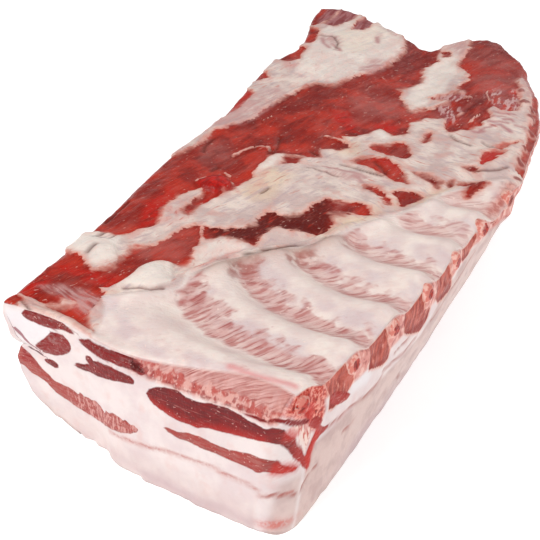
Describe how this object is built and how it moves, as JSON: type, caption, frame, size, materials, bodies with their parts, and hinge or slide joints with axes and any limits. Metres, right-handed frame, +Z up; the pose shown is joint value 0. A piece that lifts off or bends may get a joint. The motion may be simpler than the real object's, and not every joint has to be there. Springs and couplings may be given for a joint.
{
  "type": "raw bone-in breast and belly slab",
  "caption": "Thick raw slab of meat with its ribs in, lying rind side down, with layers of lean and fat showing at the front cut.",
  "frame": {"origin": "centre of the underside of the bounding box, on the surface that the slab lies on", "axes": "+Y runs along the slab from the front cut to the back, +X across it to the side with the rib ends, +Z up"},
  "size_m": [0.1932, 0.3748, 0.0671],
  "materials": {
    "fat": "moist white and pale pink fat, with the rind along the foot",
    "rack": "moist pale membrane over ribs, with pink streaks between them",
    "bone": "sawn rib, pale rim and pink marrow",
    "lean": "moist red muscle with a thin film",
    "dark_lean": "cut dark red muscle, finely grained"
  },
  "bodies": {
    "root": {"fat_and_skin": "fat", "rib_rack": "rack", "band_muscle": "lean", "flank_muscle": "lean", "end_muscle": "lean", "lean_main": "dark_lean", "lean_low_right": "dark_lean", "lean_low_left": "dark_lean", "lean_marbled": "dark_lean", "lean_small": "dark_lean", "lean_mid": "dark_lean", "rib_1": "bone", "rib_2": "bone", "rib_3": "bone", "rib_4": "bone", "rib_5": "bone", "rib_6": "bone", "rib_7": "bone"}
  },
  "joints": []
}
